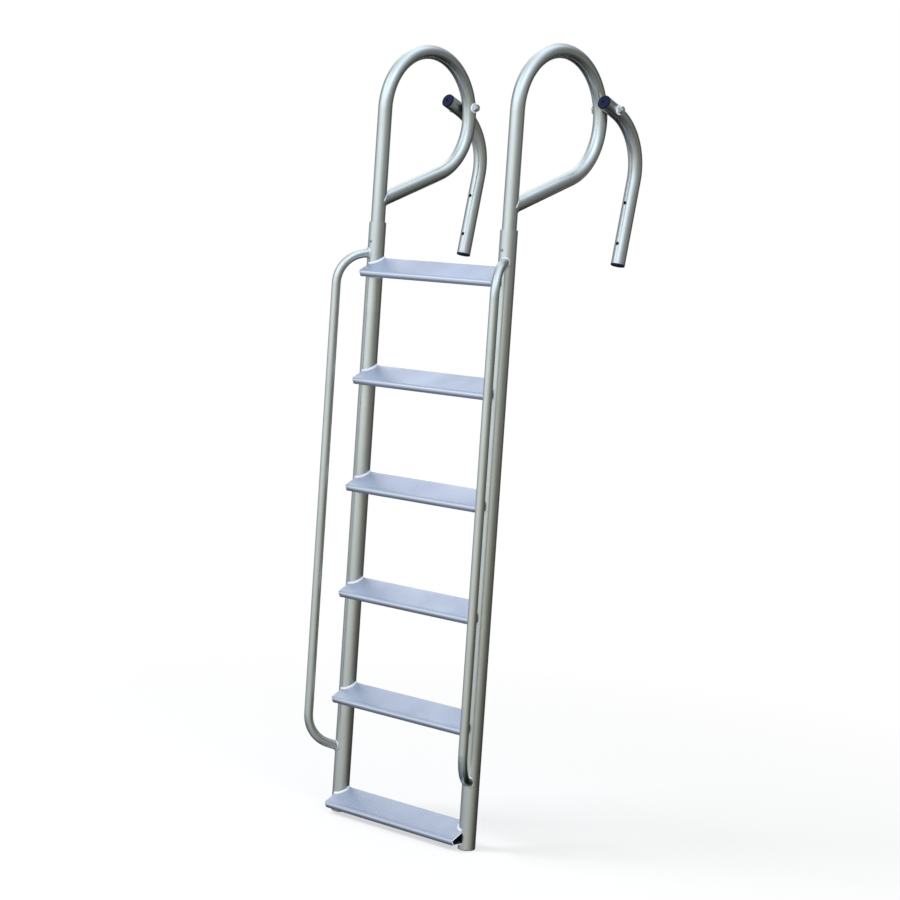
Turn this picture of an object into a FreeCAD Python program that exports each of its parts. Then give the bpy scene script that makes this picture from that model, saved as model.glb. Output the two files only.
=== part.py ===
import FreeCAD, Part
import math
import os
import re
import Sketcher

App = FreeCAD

# A flip-up dock ladder of welded aluminium tube.
# Row frame: +X across the ladder to the right, +Y towards the dock, +Z up along the rails.
# The origin is the middle of the end face of the left dock arm, where it stands in the dock.

# Driving dimensions, in millimetres and degrees
SIZES = {
    # Rails: the bottom and top stick out past the first and last tread
    "rail_diameter": 48.3,
    "rail_wall": 3.7,
    "rail_spacing": 492.4,
    "rail_foot": 62.0,
    "rail_head": 106.0,
    "foot_cap_rim": 3.0,
    "foot_cap_depth": 18.0,
    # Treads: hollow wedges with a grooved top that is level in use, and a base square to the rails
    "tread_pitch": 304.8,
    "tread_front": 72.0,
    "tread_back": 13.5,
    "tread_tilt": 26.7,
    "tread_lip": 18.6,
    "tread_edge": 6.0,
    "tread_toe": 3.0,
    "tread_top": 5.0,
    "tread_wall": 2.8,
    "groove_first": 9.0,
    "groove_span": 62.4,
    "groove_width": 1.8,
    "groove_depth": 0.9,
    # Hand loops: one bent tube that plugs into each rail and comes back onto itself
    "loop_diameter": 40.4,
    "loop_wall": 3.2,
    "loop_radius": 178.0,
    "loop_drop": 21.0,
    "loop_rise": 320.0,
    "loop_spigot": 80.0,
    "loop_coping": 16.0,
    # Side handrails: a bar bent at both ends and welded to the front of each rail
    "bar_diameter": 25.4,
    "bar_wall": 2.8,
    "bar_reach": 112.0,
    "bar_splay": 27.0,
    "bar_bend": 90.0,
    "bar_head_drop": 10.0,
    "bar_foot_drop": 18.0,
    "bar_head_height": 22.0,
    "bar_foot_height": 117.0,
    "weld_gap": 0.3,
    # Dock arms: a bent tube outside each loop whose straight post stands in the dock
    "arm_diameter": 40.4,
    "arm_wall": 3.2,
    "arm_post": 242.0,
    "arm_radius": 165.0,
    "arm_leg": 60.0,
    "arm_lean": 10.5,
    "arm_leg_drop": 22.0,
    "arm_hole": 10.5,
    "arm_hole_low": 56.0,
    "arm_hole_spacing": 117.0,
    "plug_rim": 6.0,
    "plug_depth": 20.0,
    "plug_play": 0.2,
    "plug_recess": 4.0,
    # Pivot: a bolt through each arm and loop, with washers, a lock nut and a spacer
    "swing_gap": 6.0,
    "pivot_inset": 44.0,
    "pivot_climb": 11.0,
    "pivot_bolt": 12.0,
    "pivot_play": 0.05,
    "seat_gap": 0.3,
    "washer_diameter": 28.0,
    "washer_thick": 2.5,
    "spacer_diameter": 24.0,
    "bolt_head": 24.0,
    "bolt_head_thick": 7.0,
    "bolt_tip": 3.5,
    "nut_flats": 19.0,
    "nut_thick": 11.0,
    # Set screws that hold each loop in its rail
    "screw_drop": 55.0,
    "screw_shank": 4.8,
    "screw_hole": 5.0,
    "screw_head": 8.4,
    "screw_head_thick": 2.6,
    "screw_length": 16.0,
}
TREADS = 6
GROOVES = 14
SIDES = {"left": -1, "right": 1}

# Places that follow from the driving dimensions, as formulas over their names
ARM_OFFSET = "((loop_diameter + arm_diameter) / 2 + swing_gap)"
MIDDLE_X = f"(rail_spacing / 2 + {ARM_OFFSET})"
ARM_BEND = "(90 + arm_lean - arm_leg_drop)"
PIVOT_ALONG = "(arm_leg - pivot_inset)"
PIVOT_BACK = f"(arm_radius * (1 - cos({ARM_BEND})) + {PIVOT_ALONG} * sin({ARM_BEND}))"
PIVOT_UP = f"(plug_rim + arm_post + arm_radius * sin({ARM_BEND}) + {PIVOT_ALONG} * cos({ARM_BEND}))"
PIVOT_Y = f"({PIVOT_UP} * sin(arm_lean) - {PIVOT_BACK} * cos(arm_lean))"
PIVOT_Z = f"({PIVOT_UP} * cos(arm_lean) + {PIVOT_BACK} * sin(arm_lean))"
LOOP_TURN = "(270 - loop_drop)"
RAIL_Y = f"({PIVOT_Y} - loop_radius * (1 + cos(pivot_climb)))"
RAIL_TOP = f"({PIVOT_Z} - loop_radius * sin(pivot_climb) - loop_rise)"
TOP_TREAD = f"({RAIL_TOP} - rail_head)"
BOTTOM_TREAD = f"({TOP_TREAD} - tread_pitch * {TREADS - 1})"
RAIL_LENGTH = f"(rail_head + tread_pitch * {TREADS - 1} + rail_foot)"
RAIL_BOTTOM = f"({BOTTOM_TREAD} - rail_foot)"
RAIL_BORE = "(rail_diameter / 2 - rail_wall)"
LOOP_BORE = "(loop_diameter / 2 - loop_wall)"
ARM_BORE = "(arm_diameter / 2 - arm_wall)"
STACK = "(loop_diameter + arm_diameter + swing_gap)"
TREAD_HEEL = "((tread_back + tread_front) * sin(tread_tilt) + tread_lip * cos(tread_tilt))"

X_AXIS = App.Vector(1, 0, 0)
Y_AXIS = App.Vector(0, 1, 0)
Z_AXIS = App.Vector(0, 0, 1)

doc = App.newDocument("dock_ladder")
sheet = doc.addObject("Spreadsheet::Sheet", "sizes")
for row, (name, size) in enumerate(SIZES.items(), start=1):
    sheet.set(f"A{row}", name)
    sheet.set(f"B{row}", str(size))
    sheet.setAlias(f"B{row}", name)
doc.recompute()

nodes = []


def bound(formula):
    """The formula with each size's name pointing at the sheet."""
    return re.sub(r"[a-z_]+", lambda m: f"sizes.{m.group()}" if m.group() in SIZES else m.group(), formula)


def value(formula):
    """The number that a formula gives with the sheet's sizes."""
    found = sheet.evalExpression(bound(formula))
    return float(getattr(found, "Value", found))


def rail_x(side):
    return f"({MIDDLE_X} + {SIDES[side]} * rail_spacing / 2)"


def arm_x(side):
    return f"({MIDDLE_X} + {SIDES[side]} * {MIDDLE_X})"


def place(item, x="0", y="0", z="0", axis=None, angle="0"):
    """Bind an object's place, and its turn about one axis, to the sizes."""
    if axis:
        item.Placement = App.Placement(App.Vector(), App.Rotation(axis, value(angle)))
        item.setExpression("Placement.Rotation.Angle", bound(angle))
    for letter, formula in zip("xyz", (x, y, z)):
        item.setExpression(f"Placement.Base.{letter}", bound(formula))


def new_body(label):
    body = doc.addObject("PartDesign::Body", label)
    body.Label = label
    nodes.append(body)
    return body


def new_sketch(body, name, role, axis=None, angle="0", shift=("0", "0", "0")):
    """A sketch on one of the body's own origin planes, tilted or shifted if asked."""
    sketch = body.newObject("Sketcher::SketchObject", f"{body.Name}_{name}")
    plane = next(item for item in body.Origin.OriginFeatures if item.Role == role)
    sketch.AttachmentSupport = [(plane, "")]
    sketch.MapMode = "FlatFace"
    if axis:
        sketch.AttachmentOffset = App.Placement(App.Vector(), App.Rotation(axis, value(angle)))
        sketch.setExpression("AttachmentOffset.Rotation.Angle", bound(angle))
    for letter, formula in zip("xyz", shift):
        if formula != "0":
            sketch.setExpression(f"AttachmentOffset.Base.{letter}", bound(formula))
    return sketch


def dimension(sketch, kind, parts, formula):
    """A named constraint that follows a formula."""
    index = sketch.addConstraint(Sketcher.Constraint(kind, *parts, value(formula)))
    name = f"size_{index}"
    sketch.renameConstraint(index, name)
    sketch.setExpression(f"Constraints.{name}", bound(formula))


def pin(sketch, edge, end, x, y):
    """Hold a point of the sketch at a place given by two formulas."""
    for kind, formula, cross_axis in (("DistanceX", x, -2), ("DistanceY", y, -1)):
        if formula == "0":
            sketch.addConstraint(Sketcher.Constraint("PointOnObject", edge, end, cross_axis))
        else:
            dimension(sketch, kind, (-1, 1, edge, end), formula)


def circle(sketch, radius, x="0", y="0"):
    middle = App.Vector(value(x), value(y), 0)
    edge = sketch.addGeometry(Part.Circle(middle, Z_AXIS, value(radius)))
    pin(sketch, edge, 3, x, y)
    dimension(sketch, "Radius", (edge,), radius)


def arc_centre(start, end, radius, near):
    """The centre of the arc from start to end that passes closest to the near point."""
    chord = end - start
    across = App.Vector(-chord.y, chord.x, 0).normalize()
    flat = max(radius**2 - (chord.Length / 2) ** 2, 0) ** 0.5
    centres = [(start + end) * 0.5 + across * (side * flat) for side in (-1, 1)]
    return min(centres, key=lambda centre: abs(near.distanceToPoint(centre) - radius))


def arc(start, end, radius, near):
    """A counter-clockwise arc, and which of its ends is the start and which the end."""
    centre = arc_centre(start, end, radius, near)
    onward = math.atan2(end.y - centre.y, end.x - centre.x)
    backward = math.atan2(start.y - centre.y, start.x - centre.x)
    middle = math.atan2(near.y - centre.y, near.x - centre.x)
    whole = Part.Circle(centre, Z_AXIS, radius)
    if (middle - backward) % math.tau < (onward - backward) % math.tau:
        return Part.ArcOfCircle(whole, backward, backward + (onward - backward) % math.tau), (1, 2)
    return Part.ArcOfCircle(whole, onward, onward + (backward - onward) % math.tau), (2, 1)


def outline(sketch, points, closed=True):
    """Lines and arcs through points given as formulas.

    A point is (x, y), or (x, y, radius, near_x, near_y) where an arc leads to it from the
    point before. The near point only says which arc of that radius is meant.
    """
    places = [App.Vector(value(p[0]), value(p[1]), 0) for p in points]
    edges = []
    ends = []
    steps = range(len(points)) if closed else range(1, len(points))
    for i in steps:
        if len(points[i]) == 2:
            shape, order = Part.LineSegment(places[i - 1], places[i]), (1, 2)
        else:
            near = App.Vector(value(points[i][3]), value(points[i][4]), 0)
            shape, order = arc(places[i - 1], places[i], value(points[i][2]), near)
        edges.append(sketch.addGeometry(shape))
        ends.append(order)
    for before in range(len(edges) if closed else len(edges) - 1):
        after = (before + 1) % len(edges)
        parts = (edges[before], ends[before][1], edges[after], ends[after][0])
        sketch.addConstraint(Sketcher.Constraint("Coincident", *parts))
    for edge, order, i in zip(edges, ends, steps):
        pin(sketch, edge, order[1], *points[i][:2])
        if len(points[i]) > 2:
            dimension(sketch, "Radius", (edge,), points[i][2])
    if not closed:
        pin(sketch, edges[0], ends[0][0], *points[0][:2])


def sweep(body, name, profile, spine):
    pipe = body.newObject("PartDesign::AdditivePipe", f"{body.Name}_{name}")
    pipe.Profile = profile
    pipe.Spine = spine
    body.Tip = pipe


def pad(body, name, sketch, length, kind="Pad", side="One side", reverse=False):
    """A pad or a pocket of a sketch, its length a formula, or None for right through."""
    feature = body.newObject(f"PartDesign::{kind}", f"{body.Name}_{name}")
    feature.Profile = sketch
    if length is None:
        feature.Type = "ThroughAll"
    else:
        feature.setExpression("Length", bound(length))
    feature.SideType = side
    feature.Reversed = reverse
    body.Tip = feature
    return feature


def revolve(body, name, sketch):
    """A full turn of a half section about its upright axis."""
    feature = body.newObject("PartDesign::Revolution", f"{body.Name}_{name}")
    feature.Profile = sketch
    feature.ReferenceAxis = (sketch, ["V_Axis"])
    feature.Angle = 360
    body.Tip = feature


def bore_through(body, name, role, radius, x="0", y="0"):
    """A round hole cut right through the body, square to one of its planes."""
    sketch = new_sketch(body, name, role)
    circle(sketch, radius, x, y)
    pad(body, f"{name}_cut", sketch, None, kind="Pocket", side="Symmetric")


def rod(name, radius, height):
    """A plain cylinder that a cut or fuse works on."""
    item = doc.addObject("Part::Cylinder", name)
    item.setExpression("Radius", bound(radius))
    item.setExpression("Height", bound(height))
    return item


def ring(label, outer, inner, length):
    """A washer or spacer, as one cylinder cut out of another."""
    cut = doc.addObject("Part::Cut", label)
    cut.Label = label
    cut.Base = rod(f"{label}_outside", outer, length)
    cut.Tool = rod(f"{label}_hole", inner, length)
    nodes.append(cut)
    return cut


def make_rail(side):
    """One upright: a round tube, with a screw hole near its top."""
    body = new_body(f"{side}_rail")
    section = new_sketch(body, "section", "XY_Plane")
    circle(section, "rail_diameter / 2")
    circle(section, RAIL_BORE)
    pad(body, "tube", section, RAIL_LENGTH)
    hole = new_sketch(body, "screw_hole", "XZ_Plane")
    circle(hole, "screw_hole / 2", y=f"{RAIL_LENGTH} - screw_drop")
    pad(body, "screw_hole_cut", hole, None, kind="Pocket", reverse=True)
    place(body, x=rail_x(side), y=RAIL_Y, z=RAIL_BOTTOM)


def make_foot_cap(side):
    """The cap pressed into the open foot of a rail."""
    body = new_body(f"{side}_rail_foot_cap")
    half = new_sketch(body, "half_section", "XZ_Plane")
    stem = f"({RAIL_BORE} - plug_play)"
    rim = "(rail_diameter / 2)"
    points = [
        ("0", "-foot_cap_rim"),
        (f"{rim} - foot_cap_rim", "-foot_cap_rim"),
        (rim, "0", "foot_cap_rim", f"{rim} - foot_cap_rim * 0.3", "-foot_cap_rim * 0.7"),
        (stem, "0"),
        (stem, "foot_cap_depth"),
        ("0", "foot_cap_depth"),
    ]
    outline(half, points)
    revolve(body, "cap", half)
    place(body, x=rail_x(side), y=RAIL_Y, z=RAIL_BOTTOM)


def under_back(forward, down):
    """A point so far in front of a tread's back edge and below it, in its tilted section."""
    return (f"tread_back - {forward} * cos(tread_tilt) - {down} * sin(tread_tilt)",
            f"{forward} * sin(tread_tilt) - {down} * cos(tread_tilt)")


def make_tread(number):
    """One tread, counted from the top: a hollow wedge coped round both rails, its top grooved for grip."""
    body = new_body(f"tread_{number}")
    section = new_sketch(body, "section", "YZ_Plane")
    toe = "(tread_toe * tan((90 - tread_tilt) / 2))"
    outside = [
        ("tread_back", "0"),
        under_back("0", TREAD_HEEL),
        (f"{toe} * cos(tread_tilt) - tread_front", f"-tread_lip - {toe} * sin(tread_tilt)"),
        ("-tread_front", f"{toe} - tread_lip", "tread_toe", "-tread_front", "-tread_lip"),
        ("-tread_front", "-tread_edge"),
        ("tread_edge - tread_front", "0", "tread_edge", "-tread_front", "0"),
    ]
    outline(section, outside)
    front = "tread_wall - tread_front"
    hollow = [
        under_back("tread_wall", "((tread_top + tread_wall * sin(tread_tilt)) / cos(tread_tilt))"),
        under_back("tread_wall", f"({TREAD_HEEL} - tread_wall)"),
        (front, "tread_wall * (1 - sin(tread_tilt)) / cos(tread_tilt) - tread_lip"),
        (front, "-tread_top"),
    ]
    outline(section, hollow)
    pad(body, "wedge", section, "rail_spacing", side="Symmetric")
    groove = new_sketch(body, "groove_section", "YZ_Plane")
    first = "(tread_back - groove_first)"
    outline(groove, [(f"{first} + groove_width / 2", "0"), (f"{first} - groove_width / 2", "0"),
                     (first, "-groove_depth")])
    cut = pad(body, "groove", groove, None, kind="Pocket", side="Symmetric")
    grooves = body.newObject("PartDesign::LinearPattern", f"{body.Name}_grooves")
    grooves.Originals = [cut]
    grooves.Direction = (groove, ["H_Axis"])
    grooves.Reversed = True
    grooves.setExpression("Length", bound("groove_span"))
    grooves.Occurrences = GROOVES
    body.Tip = grooves
    coping = new_sketch(body, "coping", "XY_Plane", axis=X_AXIS, angle="-tread_tilt")
    for sign in SIDES.values():
        circle(coping, "rail_diameter / 2 + weld_gap", x=f"{sign} * rail_spacing / 2")
    pad(body, "coping_cut", coping, None, kind="Pocket", side="Symmetric")
    height = f"{TOP_TREAD} - {number - 1} * tread_pitch"
    place(body, x=MIDDLE_X, y=RAIL_Y, z=height, axis=X_AXIS, angle="tread_tilt")


def make_hand_loop(side):
    """One hand loop: up out of the rail, round towards the dock and back onto itself."""
    body = new_body(f"{side}_hand_loop")
    rise = "(loop_spigot + loop_rise)"
    end_y = f"(loop_radius * (1 - cos({LOOP_TURN})))"
    end_z = f"({rise} + loop_radius * sin({LOOP_TURN}))"
    reach = "(loop_diameter / 2 + loop_coping)"
    stub_z = f"({end_z} - ({end_y} - {reach}) * tan(loop_drop))"
    spine = new_sketch(body, "bend_line", "YZ_Plane")
    points = [
        ("0", "0"),
        ("0", rise),
        (end_y, end_z, "loop_radius", "loop_radius", f"{rise} + loop_radius"),
        (reach, stub_z),
    ]
    outline(spine, points, closed=False)
    section = new_sketch(body, "section", "XY_Plane")
    circle(section, "loop_diameter / 2")
    circle(section, LOOP_BORE)
    sweep(body, "tube", section, spine)
    stub = new_sketch(body, "stub_section", "XZ_Plane", axis=X_AXIS, angle="loop_drop",
                      shift=("0", stub_z, f"-{reach}"))
    circle(stub, "loop_diameter / 2")
    circle(stub, LOOP_BORE)
    pad(body, "stub", stub, f"{reach} / cos(loop_drop)")
    bore = new_sketch(body, "upright_bore", "XY_Plane")
    circle(bore, LOOP_BORE)
    pad(body, "upright_bore_cut", bore, rise, kind="Pocket", reverse=True)
    bore_through(body, "pivot_hole", "YZ_Plane", "pivot_bolt / 2 + pivot_play",
                 x="loop_radius * (1 + cos(pivot_climb))", y=f"{rise} + loop_radius * sin(pivot_climb)")
    hole = new_sketch(body, "screw_hole", "XZ_Plane")
    circle(hole, "screw_hole / 2", y="loop_spigot - screw_drop")
    pad(body, "screw_hole_cut", hole, None, kind="Pocket", reverse=True)
    place(body, x=rail_x(side), y=RAIL_Y, z=f"{RAIL_TOP} - loop_spigot")


def make_screw(side):
    """The set screw through the front of a rail into the loop inside it."""
    body = new_body(f"{side}_loop_screw")
    half = new_sketch(body, "half_section", "XY_Plane")
    head = "(screw_head / 2)"
    points = [
        ("0", "0"),
        (head, "0"),
        (f"{head} * 0.25", "-screw_head_thick", head, f"{head} * 0.8", "-screw_head_thick * 0.6"),
        ("0", "-screw_head_thick"),
    ]
    outline(half, points)
    revolve(body, "head", half)
    shank = new_sketch(body, "shank_section", "XZ_Plane")
    circle(shank, "screw_shank / 2")
    pad(body, "shank", shank, "screw_length", reverse=True)
    place(body, x=rail_x(side), y=f"{RAIL_Y} - rail_diameter / 2", z=f"{RAIL_TOP} - screw_drop")


def make_side_handrail(side):
    """The bar in front of a rail: straight, with both ends bent back onto the rail."""
    body = new_body(f"{side}_side_handrail")
    foot_turn = "(90 - bar_foot_drop)"
    head_turn = "(90 - bar_head_drop)"
    foot_in = f"(bar_bend * (1 - cos({foot_turn})))"
    head_in = f"(bar_bend * (1 - cos({head_turn})))"
    foot_joint = f"(bar_bend * sin({foot_turn}) + (bar_reach - {foot_in}) * tan(bar_foot_drop))"
    head_joint = f"(bar_bend * sin({head_turn}) + (bar_reach - {head_in}) * tan(bar_head_drop))"
    span = f"({TOP_TREAD} - {BOTTOM_TREAD} + bar_head_height - bar_foot_height)"
    straight = f"({span} - {foot_joint} - {head_joint})"
    inside = "(rail_diameter / 4)"
    foot_end = f"(-{foot_joint} + {inside} * tan(bar_foot_drop))"
    points = [
        (f"bar_reach - {inside}", foot_end),
        (foot_in, f"-bar_bend * sin({foot_turn})"),
        ("0", "0", "bar_bend", f"{foot_in} / 3", f"-bar_bend * sin({foot_turn} / 2)"),
        ("0", straight),
        (head_in, f"{straight} + bar_bend * sin({head_turn})", "bar_bend",
         f"{head_in} / 3", f"{straight} + bar_bend * sin({head_turn} / 2)"),
        (f"bar_reach - {inside}", f"{straight} + {head_joint} - {inside} * tan(bar_head_drop)"),
    ]
    spine = new_sketch(body, "bend_line", "YZ_Plane")
    outline(spine, points, closed=False)
    section = new_sketch(body, "section", "XY_Plane", axis=X_AXIS, angle="90 - bar_foot_drop",
                         shift=("0", f"bar_reach - {inside}", foot_end))
    circle(section, "bar_diameter / 2")
    circle(section, "bar_diameter / 2 - bar_wall")
    sweep(body, "bar", section, spine)
    bore_through(body, "coping", "XY_Plane", "rail_diameter / 2 + weld_gap", y="bar_reach")
    turn = f"{SIDES[side]} * bar_splay"
    place(body, x=f"{rail_x(side)} + {SIDES[side]} * bar_reach * sin(bar_splay)",
          y=f"{RAIL_Y} - bar_reach * cos(bar_splay)",
          z=f"{BOTTOM_TREAD} + bar_foot_height + {foot_joint}", axis=Z_AXIS, angle=turn)


def make_dock_arm(side):
    """One dock arm: a drilled post that stands in the dock, bent over to the pivot."""
    body = new_body(f"{side}_dock_arm")
    section = new_sketch(body, "section", "XY_Plane")
    circle(section, "arm_diameter / 2")
    circle(section, ARM_BORE)
    spine = new_sketch(body, "bend_line", "YZ_Plane")
    arc_y = f"(-arm_radius * (1 - cos({ARM_BEND})))"
    arc_z = f"(arm_post + arm_radius * sin({ARM_BEND}))"
    points = [
        ("0", "0"),
        ("0", "arm_post"),
        (arc_y, arc_z, "arm_radius", f"-arm_radius * (1 - cos({ARM_BEND} / 2))",
         f"arm_post + arm_radius * sin({ARM_BEND} / 2)"),
        (f"{arc_y} - arm_leg * sin({ARM_BEND})", f"{arc_z} + arm_leg * cos({ARM_BEND})"),
    ]
    outline(spine, points, closed=False)
    sweep(body, "tube", section, spine)
    bore_through(body, "pivot_hole", "YZ_Plane", "pivot_bolt / 2 + pivot_play",
                 x=f"-{PIVOT_BACK}", y=f"{PIVOT_UP} - plug_rim")
    holes = new_sketch(body, "bolt_holes", "XZ_Plane")
    circle(holes, "arm_hole / 2", y="arm_hole_low")
    circle(holes, "arm_hole / 2", y="arm_hole_low + arm_hole_spacing")
    pad(body, "bolt_holes_cut", holes, "arm_diameter * 2", kind="Pocket", side="Symmetric")
    place(body, x=arm_x(side), y="plug_rim * sin(arm_lean)", z="plug_rim * cos(arm_lean)",
          axis=X_AXIS, angle="-arm_lean")


def make_arm_plug(side, name, y, z, turn, recess):
    """A moulded plug in an end of an arm: a stem in the bore and a rounded rim outside."""
    body = new_body(f"{side}_arm_{name}_plug")
    half = new_sketch(body, "half_section", "XZ_Plane")
    stem = f"({ARM_BORE} - plug_play)"
    rim = "(arm_diameter / 2)"
    edge = "(plug_rim * 0.5)"
    points = [
        ("0", "-plug_depth"),
        (stem, "-plug_depth"),
        (stem, "0"),
        (rim, "0"),
        (rim, f"plug_rim - {edge}"),
        (f"{rim} - {edge}", "plug_rim", edge, f"{rim} - {edge} * 0.3", f"plug_rim - {edge} * 0.3"),
    ]
    if recess:
        floor = f"plug_rim - {edge}"
        points += [("plug_recess", "plug_rim"), ("plug_recess", floor), ("0", floor)]
    else:
        points += [("0", "plug_rim")]
    outline(half, points)
    revolve(body, "plug", half)
    place(body, x=arm_x(side), y=y, z=z, axis=X_AXIS, angle=turn)


def make_pivot(side):
    """The bolt through an arm and a loop, with two washers, a spacer and a nut."""
    start = {"left": "(-arm_diameter / 2)", "right": f"({rail_x('right')} - loop_diameter / 2)"}[side]
    turn = {"axis": Y_AXIS, "angle": "90"}
    where = {"y": PIVOT_Y, "z": PIVOT_Z, **turn}
    washer = ("washer_diameter / 2", "pivot_bolt / 2 + seat_gap / 2", "washer_thick")
    grip = f"({STACK} + 2 * (washer_thick + seat_gap))"

    bolt = new_body(f"{side}_pivot_bolt")
    half = new_sketch(bolt, "half_section", "XZ_Plane")
    head = "(bolt_head / 2)"
    points = [
        ("0", f"{grip} + nut_thick + bolt_tip"),
        ("0", "-bolt_head_thick"),
        (f"{head} * 0.25", "-bolt_head_thick"),
        (head, "0", head, f"{head} * 0.8", "-bolt_head_thick * 0.6"),
        ("pivot_bolt / 2", "0"),
        ("pivot_bolt / 2", f"{grip} + nut_thick + bolt_tip"),
    ]
    outline(half, points)
    revolve(bolt, "bolt", half)
    place(bolt, x=f"{start} - seat_gap - washer_thick", **where)

    near = ring(f"{side}_pivot_head_washer", *washer)
    place(near, x=f"{start} - seat_gap - washer_thick", **where)
    far = ring(f"{side}_pivot_nut_washer", *washer)
    place(far, x=f"{start} + {STACK} + seat_gap", **where)

    between = {"left": "arm_diameter / 2", "right": f"{rail_x('right')} + loop_diameter / 2"}[side]
    spacer = ring(f"{side}_pivot_spacer", "spacer_diameter / 2", "pivot_bolt / 2 + seat_gap / 2",
                  "swing_gap - 2 * seat_gap")
    place(spacer, x=f"{between} + seat_gap", **where)

    nut = doc.addObject("Part::Cut", f"{side}_pivot_nut")
    nut.Label = nut.Name
    nut.Base = doc.addObject("Part::Prism", f"{side}_pivot_nut_hexagon")
    nut.Base.Polygon = 6
    nut.Base.setExpression("Circumradius", bound("nut_flats / 2 / cos(30)"))
    nut.Base.setExpression("Height", bound("nut_thick"))
    nut.Tool = rod(f"{side}_pivot_nut_bore", "pivot_bolt / 2 + pivot_play", "nut_thick")
    nodes.append(nut)
    place(nut, x=f"{start} - seat_gap - washer_thick + {grip}", **where)


for side in SIDES:
    make_rail(side)
    make_foot_cap(side)
    make_hand_loop(side)
    make_screw(side)
    make_side_handrail(side)
    make_dock_arm(side)
    foot = ("plug_rim * sin(arm_lean)", "plug_rim * cos(arm_lean)", "180 - arm_lean")
    make_arm_plug(side, "foot", *foot, False)
    tip_back = f"(arm_radius * (1 - cos({ARM_BEND})) + arm_leg * sin({ARM_BEND}))"
    tip_up = f"(plug_rim + arm_post + arm_radius * sin({ARM_BEND}) + arm_leg * cos({ARM_BEND}))"
    make_arm_plug(
        side,
        "head",
        f"{tip_up} * sin(arm_lean) - {tip_back} * cos(arm_lean)",
        f"{tip_up} * cos(arm_lean) + {tip_back} * sin(arm_lean)",
        f"{ARM_BEND} - arm_lean",
        True,
    )
    make_pivot(side)
for number in range(1, TREADS + 1):
    make_tread(number)

doc.recompute()
for item in doc.Objects:
    if {"Invalid", "Error"} & set(item.State):
        raise RuntimeError(f"{item.Name} did not compute: {item.State}")
os.makedirs("parts", exist_ok=True)
for node in nodes:
    if node.Shape.isNull() or not node.Shape.isValid():
        raise RuntimeError(f"{node.Label} has no valid shape")
    node.Shape.exportStep(f"parts/{node.Label}.step")
    print(f"{node.Label}: {len(node.Shape.Solids)} solid, {node.Shape.Volume / 1000:.1f} cm3")
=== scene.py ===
import logging
import math
from dataclasses import dataclass
from enum import Enum
from typing import Dict, List, Optional, Sequence, Tuple

import bmesh
import bpy
from mathutils import Euler, Matrix, Vector


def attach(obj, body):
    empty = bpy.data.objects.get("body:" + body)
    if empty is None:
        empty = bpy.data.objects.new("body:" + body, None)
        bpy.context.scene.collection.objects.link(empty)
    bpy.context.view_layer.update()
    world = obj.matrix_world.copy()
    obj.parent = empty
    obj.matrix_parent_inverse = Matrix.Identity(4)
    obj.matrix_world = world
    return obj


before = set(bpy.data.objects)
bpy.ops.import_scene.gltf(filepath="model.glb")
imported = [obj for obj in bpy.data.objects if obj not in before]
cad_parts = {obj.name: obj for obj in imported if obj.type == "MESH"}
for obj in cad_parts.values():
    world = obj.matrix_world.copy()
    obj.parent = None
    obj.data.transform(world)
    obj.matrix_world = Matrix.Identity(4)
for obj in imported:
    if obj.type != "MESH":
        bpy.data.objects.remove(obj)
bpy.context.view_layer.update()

log = logging.getLogger("dock_ladder")

Colour = Tuple[float, float, float]
Section = List[Vector]
Stops = Tuple[Tuple[float, Tuple[float, ...]], ...]


class Side(Enum):
    """The two sides of the ladder, with the sign of X that points outward."""

    LEFT = -1
    RIGHT = 1

    @property
    def word(self) -> str:
        """The word that the side's CAD nodes start with."""
        return self.name.lower()


class Body(Enum):
    """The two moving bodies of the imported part."""

    LADDER = "ladder"
    ARMS = "dock_arms"


@dataclass(frozen=True)
class LadderSizes:
    """Places and sizes of the ladder, in metres and degrees, in the row frame."""

    rail_x: Tuple[float, float] = (0.0464, 0.5388)
    rail_y: float = -0.42280
    rail_radius: float = 0.02415
    top_tread: float = -0.02707
    tread_pitch: float = 0.3048
    tread_tilt: float = 26.7
    tread_front: float = 0.072
    tread_base: float = 0.0490
    tread_round: float = 0.0025
    tread_count: int = 6
    loop_radius: float = 0.0202
    loop_joint: float = 0.13994
    loop_drop: float = 21.0
    bar_radius: float = 0.0127
    bar_splay: float = 27.0
    bar_head: float = -0.00507
    bar_head_drop: float = -10.0
    bar_foot: float = -1.43407
    bar_foot_drop: float = 18.0
    floor: float = -1.61607

    def rail_centre(self, side: Side) -> float:
        """X of one rail's axis."""
        return self.rail_x[0] if side is Side.LEFT else self.rail_x[1]

    def tread_z(self, number: int) -> float:
        """Height of a tread's top, over the rail's axis, counted from the top one."""
        return self.top_tread - (number - 1) * self.tread_pitch

    def tread_corner(self) -> float:
        """Height where the top tread's slanted top starts to round over into its front."""
        return self.top_tread - self.tread_front * math.tan(math.radians(self.tread_tilt)) + self.tread_round


SIZES = LadderSizes()


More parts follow.
